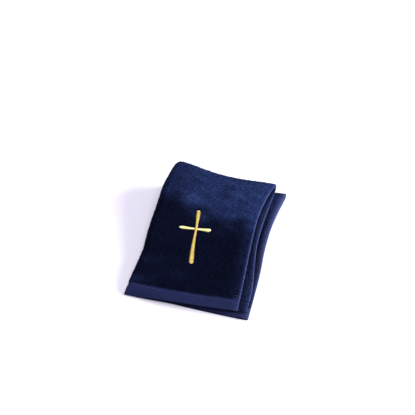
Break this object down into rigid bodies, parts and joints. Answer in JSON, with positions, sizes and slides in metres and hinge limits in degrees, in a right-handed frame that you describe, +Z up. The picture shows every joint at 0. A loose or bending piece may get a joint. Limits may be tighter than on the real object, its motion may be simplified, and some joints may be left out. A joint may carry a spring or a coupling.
{
  "type": "pastor towel",
  "caption": "Navy velour hand towel, quarter-folded, with flat-woven end bands, side hems and a gold satin-stitch Latin cross on its front panel.",
  "frame": {"origin": "on the surface the folded towel rests on, under the middle of its front panel", "axes": "+X across the front panel from the folded left edge to the open right edges, +Y along it from the hems to the top fold, +Z up"},
  "size_m": [0.2194, 0.3037, 0.0595],
  "materials": {
    "velour": "deep navy cut-pile cotton velour",
    "gold_thread_bar": "glossy pale gold satin stitch",
    "gold_thread_upright": "glossy gold satin stitch"
  },
  "bodies": {
    "root": {"towel": "velour", "cross_bar": "gold_thread_bar", "cross_upright": "gold_thread_upright"}
  },
  "joints": []
}
